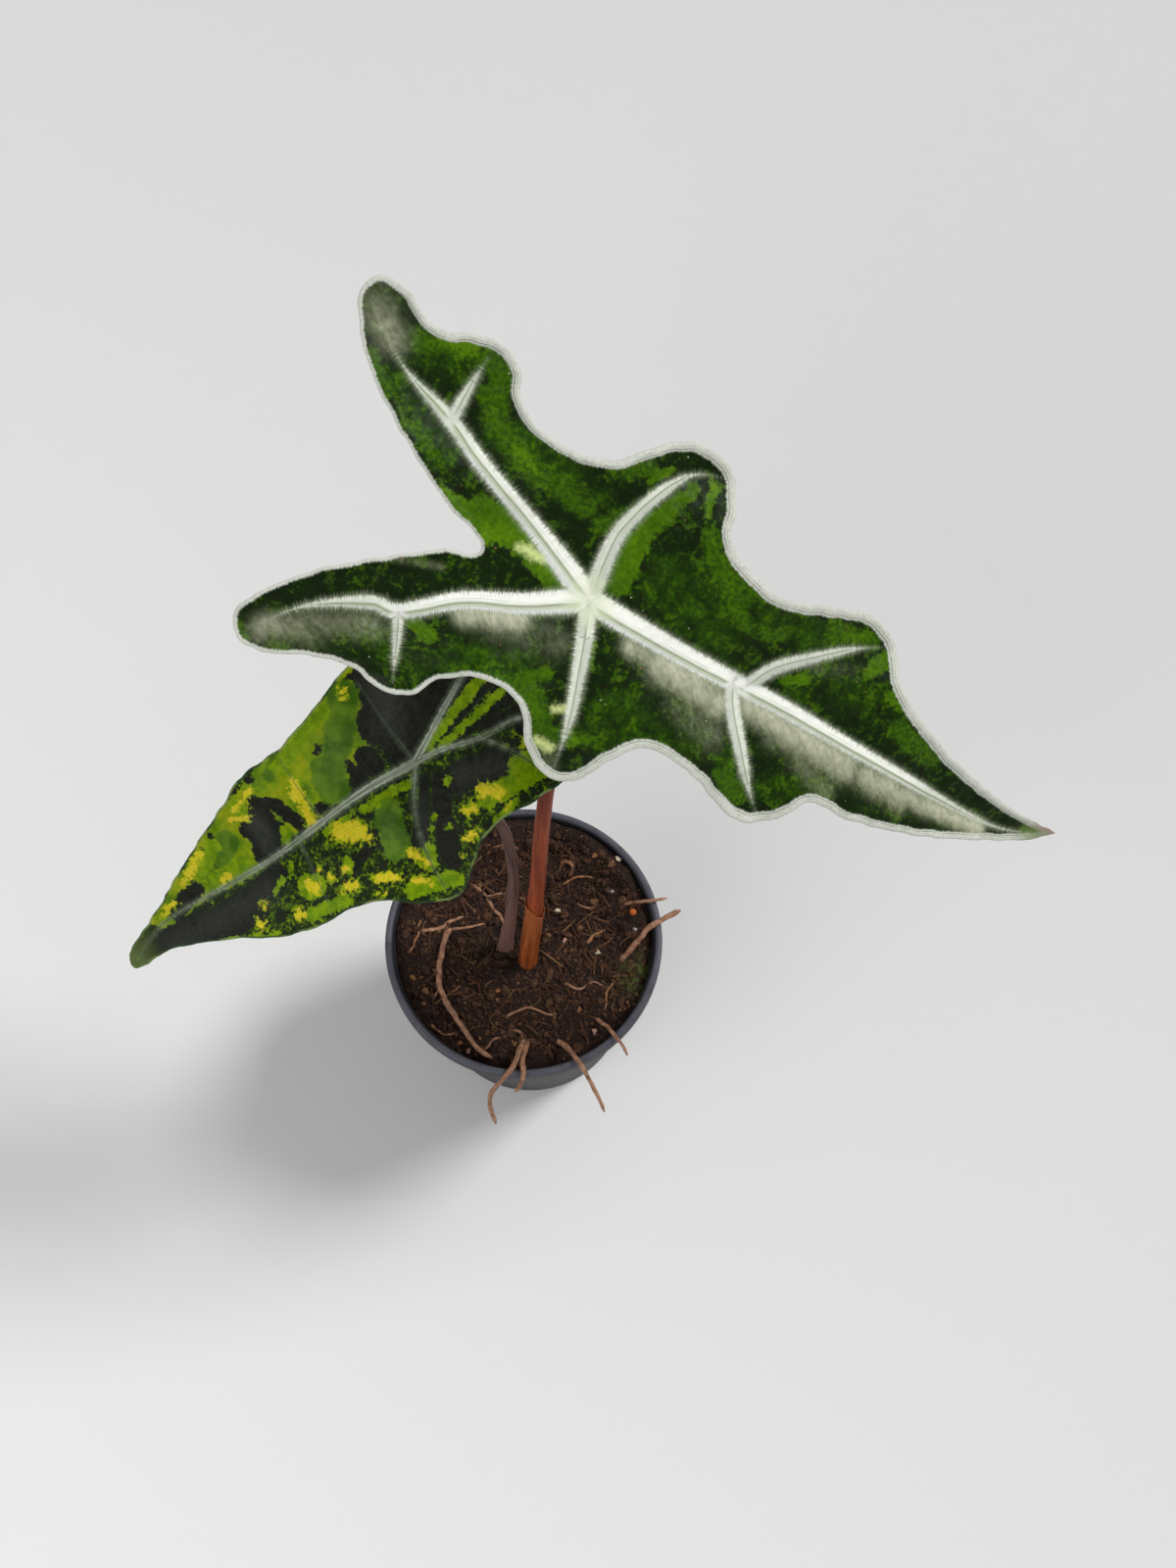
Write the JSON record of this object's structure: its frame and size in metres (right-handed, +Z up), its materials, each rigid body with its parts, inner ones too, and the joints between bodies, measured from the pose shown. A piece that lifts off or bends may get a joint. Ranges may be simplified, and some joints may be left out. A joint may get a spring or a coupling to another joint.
{
  "type": "potted alocasia",
  "caption": "Alocasia house plant with arrow-shaped, wavy-edged leaves on slender stalks, rooted in soil in a small round tapered nursery pot.",
  "frame": {"origin": "middle of the pot's flat underside, on the surface that the pot stands on", "axes": "+Z up, -Y towards the viewer of the front view, +X to that viewer's right, where the larger leaf points"},
  "size_m": [0.2665, 0.1548, 0.2822],
  "materials": {
    "pot_plastic": "satin",
    "soil": "matte",
    "corm_skin": "matte",
    "red_stalk": "satin",
    "mauve_stalk": "satin",
    "green_leaf": "satin",
    "mottled_leaf": "satin",
    "root_skin": "matte"
  },
  "bodies": {
    "root": {"nursery_pot": "pot_plastic", "potting_soil": "soil", "corm": "corm_skin", "upper_stalk": "red_stalk", "upper_blade": "green_leaf", "lower_stalk": "mauve_stalk", "lower_blade": "mottled_leaf", "root_left_on_soil": "root_skin", "root_front_left": "root_skin", "root_front": "root_skin", "root_front_right": "root_skin", "root_right_edge": "root_skin", "root_right": "root_skin", "root_right_back": "root_skin"}
  },
  "joints": []
}
